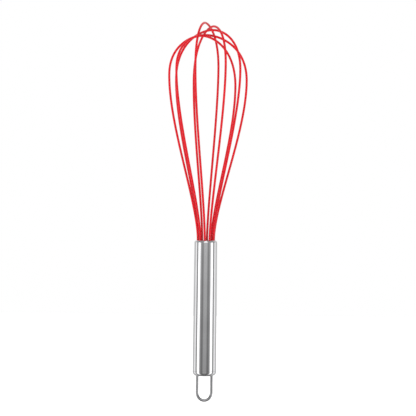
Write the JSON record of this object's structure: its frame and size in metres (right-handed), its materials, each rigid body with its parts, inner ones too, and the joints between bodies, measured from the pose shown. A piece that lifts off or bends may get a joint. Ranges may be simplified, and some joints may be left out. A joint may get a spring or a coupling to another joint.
{
  "type": "balloon whisk",
  "caption": "Balloon whisk with silicone-sleeved wire loops set in a round steel tube handle, and a wire hanging loop that swings in the butt.",
  "frame": {"origin": "on the handle's axis, halfway along the grip between the mouth rim and the butt", "axes": "+Z along the handle towards the crown of the balloon; X along the line of the hanging loop's two feet, so the loop lies in the XZ plane at rest; Y through the loop's eye"},
  "size_m": [0.0632, 0.0611, 0.2998],
  "materials": {
    "polished_steel": "polished stainless steel with fine lengthwise lines",
    "spring_steel": "drawn stainless spring wire",
    "red_silicone": "satin red silicone rubber",
    "seal_resin": "cured grey sealing resin",
    "nylon": "natural moulded nylon"
  },
  "bodies": {
    "handle": {"handle_tube": "polished_steel", "end_cap": "polished_steel", "loop_retainer": "nylon", "mouth_seal": "seal_resin", "wire_holder": "nylon", "steel_wire_1": "spring_steel", "steel_wire_2": "spring_steel", "steel_wire_3": "spring_steel", "steel_wire_4": "spring_steel", "steel_wire_5": "spring_steel", "silicone_sleeve_1": "red_silicone", "silicone_sleeve_2": "red_silicone", "silicone_sleeve_3": "red_silicone", "silicone_sleeve_4": "red_silicone", "silicone_sleeve_5": "red_silicone"},
    "hanger": {"hanging_loop": "polished_steel"}
  },
  "joints": [
    {"name": "hanging_loop_swing", "type": "hinge", "parent": "handle", "child": "hanger", "pos_m": [0, 0, -0.05095], "axis": [1, 0, 0], "range_deg": [-30, 30]}
  ]
}
